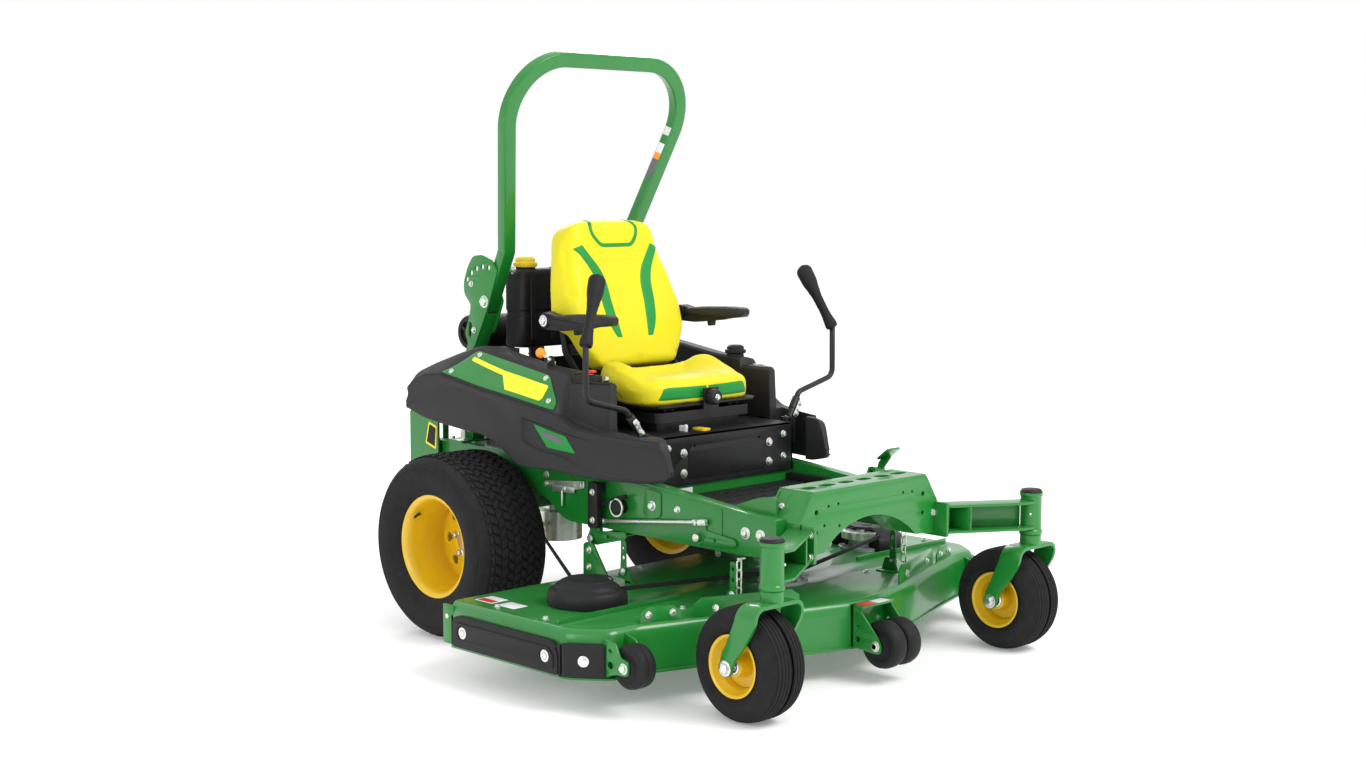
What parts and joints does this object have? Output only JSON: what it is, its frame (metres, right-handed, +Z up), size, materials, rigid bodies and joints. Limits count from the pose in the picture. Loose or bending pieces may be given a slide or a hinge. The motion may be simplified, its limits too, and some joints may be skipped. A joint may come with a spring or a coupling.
{
  "type": "zero turn mower",
  "caption": "Ride-on zero turn mower: wide rear-discharge deck on a lift linkage, swivelling front casters, driven rear wheels, two steering levers, suspension seat and folding roll bar.",
  "frame": {"origin": "on the ground, at the centre of the bounding box seen from above", "axes": "+Z up, the machine faces -Y, its left side is +X"},
  "size_m": [1.91, 2.044, 1.937],
  "materials": {
    "green_paint": "gloss enamel",
    "black_paint": "satin powder coat",
    "black_plastic": "fine texture",
    "grey_plastic": "fine texture",
    "zinc": "zinc plated",
    "rubber": "matt",
    "tyre": "matt tread",
    "yellow_paint": "gloss enamel",
    "seat_vinyl": "vinyl, soft sheen",
    "cast_aluminium": "as cast",
    "yellow_plastic": "moulded",
    "orange_plastic": "moulded",
    "red_plastic": "moulded",
    "blade_steel": "ground steel"
  },
  "bodies": {
    "chassis": {"frame_rails": "green_paint", "front_crossmember": "green_paint", "caster_arm_right": "green_paint", "caster_arm_left": "green_paint", "rear_frame": "green_paint", "footrest": "black_paint", "seat_box": "black_paint", "fender_right": "grey_plastic", "fender_left": "grey_plastic", "fender_nose_right": "grey_plastic", "fender_nose_left": "grey_plastic", "engine_block": "cast_aluminium", "blower_housing": "black_plastic", "muffler": "zinc", "air_cleaner": "black_plastic", "hydro_drives": "cast_aluminium", "roll_bar_base": "green_paint", "rear_tank": "black_plastic"},
    "tank_cap": {"tank_cap": "yellow_plastic"},
    "fuel_cap": {"fuel_cap": "black_plastic"},
    "roll_bar": {"roll_bar_hoop": "green_paint"},
    "seat_suspension": {"suspension_carriage": "black_paint"},
    "seat_base": {"seat_pan": "black_paint", "seat_cushion": "seat_vinyl"},
    "weight_knob": {"weight_knob": "grey_plastic"},
    "seat_back": {"seat_back_shell": "black_plastic", "seat_back_cushion": "seat_vinyl"},
    "armrest_right": {"armrest_right": "grey_plastic"},
    "armrest_left": {"armrest_left": "grey_plastic"},
    "lever_pivot_right": {"lever_pivot_right": "black_paint"},
    "lever_pivot_left": {"lever_pivot_left": "black_paint"},
    "lever_right": {"lever_right": "black_paint"},
    "lever_left": {"lever_left": "black_paint"},
    "throttle": {"throttle_lever": "orange_plastic"},
    "pto_knob": {"pto_knob": "red_plastic"},
    "deck": {"deck_shell": "green_paint", "spindle_housings": "cast_aluminium", "deck_guards": "black_plastic", "deck_belt": "rubber"},
    "spindle_right": {"spindle_right": "blade_steel"},
    "spindle_center": {"spindle_center": "blade_steel"},
    "spindle_left": {"spindle_left": "blade_steel"},
    "engine_pulley": {"engine_pulley": "zinc"},
    "caster_right": {"caster_fork_right": "green_paint"},
    "caster_left": {"caster_fork_left": "green_paint"},
    "caster_wheel_right": {"caster_tyre_right": "tyre", "caster_rim_right": "yellow_paint"},
    "caster_wheel_left": {"caster_tyre_left": "tyre", "caster_rim_left": "yellow_paint"},
    "drive_wheel_right": {"drive_tyre_right": "tyre", "drive_rim_right": "yellow_paint"},
    "drive_wheel_left": {"drive_tyre_left": "tyre", "drive_rim_left": "yellow_paint"},
    "gauge_wheel_right": {"gauge_wheel_right": "rubber"},
    "gauge_wheel_left": {"gauge_wheel_left": "rubber"},
    "center_rollers": {"center_rollers": "rubber"},
    "lift_pedal": {"lift_pedal": "green_paint"},
    "front_lift_shaft": {"front_lift_shaft": "green_paint"},
    "lift_rods": {"lift_rods": "zinc"},
    "rear_lift_shaft": {"rear_lift_shaft": "green_paint"}
  },
  "joints": [
    {"name": "roll_bar_fold", "type": "hinge", "parent": "chassis", "child": "roll_bar", "pos_m": [0, 0.692, 1.091], "axis": [1, 0, 0], "range_deg": [-100, 0]},
    {"name": "seat_suspension", "type": "slide", "parent": "chassis", "child": "seat_suspension", "axis": [0, 0, 1], "range_m": [-0.025, 0.025]},
    {"name": "seat_slide", "type": "slide", "parent": "seat_suspension", "child": "seat_base", "axis": [0, 1, 0], "range_m": [-0.03, 0.06]},
    {"name": "seat_recline", "type": "hinge", "parent": "seat_base", "child": "seat_back", "pos_m": [0, 0.275, 0.85], "axis": [1, 0, 0], "range_deg": [-10, 3]},
    {"name": "weight_knob_turn", "type": "hinge", "parent": "seat_base", "child": "weight_knob", "pos_m": [0, -0.128, 0.804], "axis": [0, 1, 0], "continuous": true},
    {"name": "armrest_right_flip", "type": "hinge", "parent": "seat_back", "child": "armrest_right", "pos_m": [-0.31, 0.343, 1.045], "axis": [1, 0, 0], "range_deg": [-95, 0]},
    {"name": "lever_right_drive", "type": "hinge", "parent": "chassis", "child": "lever_pivot_right", "pos_m": [-0.333, -0.14, 0.65], "axis": [1, 0, 0], "range_deg": [-5, 18]},
    {"name": "lever_right_park", "type": "hinge", "parent": "lever_pivot_right", "child": "lever_right", "pos_m": [-0.333, -0.14, 0.7], "axis": [0, 1, 0], "range_deg": [0, 25]},
    {"name": "armrest_left_flip", "type": "hinge", "parent": "seat_back", "child": "armrest_left", "pos_m": [0.31, 0.343, 1.045], "axis": [1, 0, 0], "range_deg": [-95, 0]},
    {"name": "lever_left_drive", "type": "hinge", "parent": "chassis", "child": "lever_pivot_left", "pos_m": [0.333, -0.14, 0.65], "axis": [1, 0, 0], "range_deg": [-5, 18]},
    {"name": "lever_left_park", "type": "hinge", "parent": "lever_pivot_left", "child": "lever_left", "pos_m": [0.333, -0.14, 0.7], "axis": [0, 1, 0], "range_deg": [-25, 0]},
    {"name": "throttle_turn", "type": "hinge", "parent": "chassis", "child": "throttle", "pos_m": [-0.398, 0.246, 0.926], "axis": [1, 0, 0], "range_deg": [-8, 30]},
    {"name": "pto_pull", "type": "slide", "parent": "chassis", "child": "pto_knob", "axis": [0, 0, 1], "range_m": [0, 0.012]},
    {"name": "tank_cap_turn", "type": "hinge", "parent": "chassis", "child": "tank_cap", "pos_m": [-0.15, 0.657, 1.2065], "axis": [0, 0, 1], "range_deg": [0, 120]},
    {"name": "fuel_cap_turn", "type": "hinge", "parent": "chassis", "child": "fuel_cap", "pos_m": [0.392, 0.164, 0.905], "axis": [0, 0, 1], "range_deg": [0, 120]},
    {"name": "deck_lift", "type": "slide", "parent": "chassis", "child": "deck", "axis": [0, 0, 1], "range_m": [-0.04, 0.035]},
    {"name": "engine_pulley_spin", "type": "hinge", "parent": "chassis", "child": "engine_pulley", "pos_m": [0, 0.66, 0.3], "axis": [0, 0, 1], "continuous": true},
    {"name": "spindle_right_spin", "type": "hinge", "parent": "deck", "child": "spindle_right", "pos_m": [-0.606, -0.24, 0.2], "axis": [0, 0, 1], "continuous": true},
    {"name": "spindle_center_spin", "type": "hinge", "parent": "deck", "child": "spindle_center", "pos_m": [0, -0.425, 0.2], "axis": [0, 0, 1], "continuous": true},
    {"name": "spindle_left_spin", "type": "hinge", "parent": "deck", "child": "spindle_left", "pos_m": [0.606, -0.24, 0.2], "axis": [0, 0, 1], "continuous": true},
    {"name": "caster_right_swivel", "type": "hinge", "parent": "chassis", "child": "caster_right", "pos_m": [-0.608, -0.94, 0.45], "axis": [0, 0, 1], "continuous": true},
    {"name": "caster_wheel_right_roll", "type": "hinge", "parent": "caster_right", "child": "caster_wheel_right", "pos_m": [-0.608, -0.857, 0.165], "axis": [1, 0, 0], "continuous": true},
    {"name": "drive_wheel_right_roll", "type": "hinge", "parent": "chassis", "child": "drive_wheel_right", "pos_m": [-0.537, 0.538, 0.305], "axis": [1, 0, 0], "continuous": true},
    {"name": "gauge_wheel_right_roll", "type": "hinge", "parent": "deck", "child": "gauge_wheel_right", "pos_m": [-0.83, -0.624, 0.15], "axis": [1, 0, 0], "continuous": true},
    {"name": "caster_left_swivel", "type": "hinge", "parent": "chassis", "child": "caster_left", "pos_m": [0.608, -0.94, 0.45], "axis": [0, 0, 1], "continuous": true},
    {"name": "caster_wheel_left_roll", "type": "hinge", "parent": "caster_left", "child": "caster_wheel_left", "pos_m": [0.608, -0.857, 0.165], "axis": [1, 0, 0], "continuous": true},
    {"name": "drive_wheel_left_roll", "type": "hinge", "parent": "chassis", "child": "drive_wheel_left", "pos_m": [0.537, 0.538, 0.305], "axis": [1, 0, 0], "continuous": true},
    {"name": "gauge_wheel_left_roll", "type": "hinge", "parent": "deck", "child": "gauge_wheel_left", "pos_m": [0.83, -0.624, 0.15], "axis": [1, 0, 0], "continuous": true},
    {"name": "center_rollers_roll", "type": "hinge", "parent": "deck", "child": "center_rollers", "pos_m": [0, -0.87, 0.12], "axis": [1, 0, 0], "continuous": true},
    {"name": "pedal_push", "type": "hinge", "parent": "chassis", "child": "lift_pedal", "pos_m": [0.38, -0.494, 0.56], "axis": [1, 0, 0], "range_deg": [-16, 14]},
    {"name": "front_lift_turn", "type": "hinge", "parent": "chassis", "child": "front_lift_shaft", "pos_m": [0, -0.417, 0.428], "axis": [1, 0, 0], "range_deg": [-14, 16]},
    {"name": "lift_rods_travel", "type": "slide", "parent": "chassis", "child": "lift_rods", "axis": [0, 1, 0], "range_m": [-0.014, 0.012]},
    {"name": "rear_lift_turn", "type": "hinge", "parent": "chassis", "child": "rear_lift_shaft", "pos_m": [0, 0.063, 0.362], "axis": [1, 0, 0], "range_deg": [-14, 16]}
  ],
  "couplings": [
    {"joint": "spindle_right_spin", "follows": "engine_pulley_spin", "ratio": 1.2},
    {"joint": "spindle_center_spin", "follows": "engine_pulley_spin", "ratio": 1.2},
    {"joint": "spindle_left_spin", "follows": "engine_pulley_spin", "ratio": 1.2},
    {"joint": "front_lift_turn", "follows": "deck_lift", "rad_per_m": -6.6667},
    {"joint": "rear_lift_turn", "follows": "deck_lift", "rad_per_m": -6.6667},
    {"joint": "lift_rods_travel", "follows": "deck_lift", "ratio": 0.3333},
    {"joint": "pedal_push", "follows": "deck_lift", "rad_per_m": 6.6667}
  ]
}
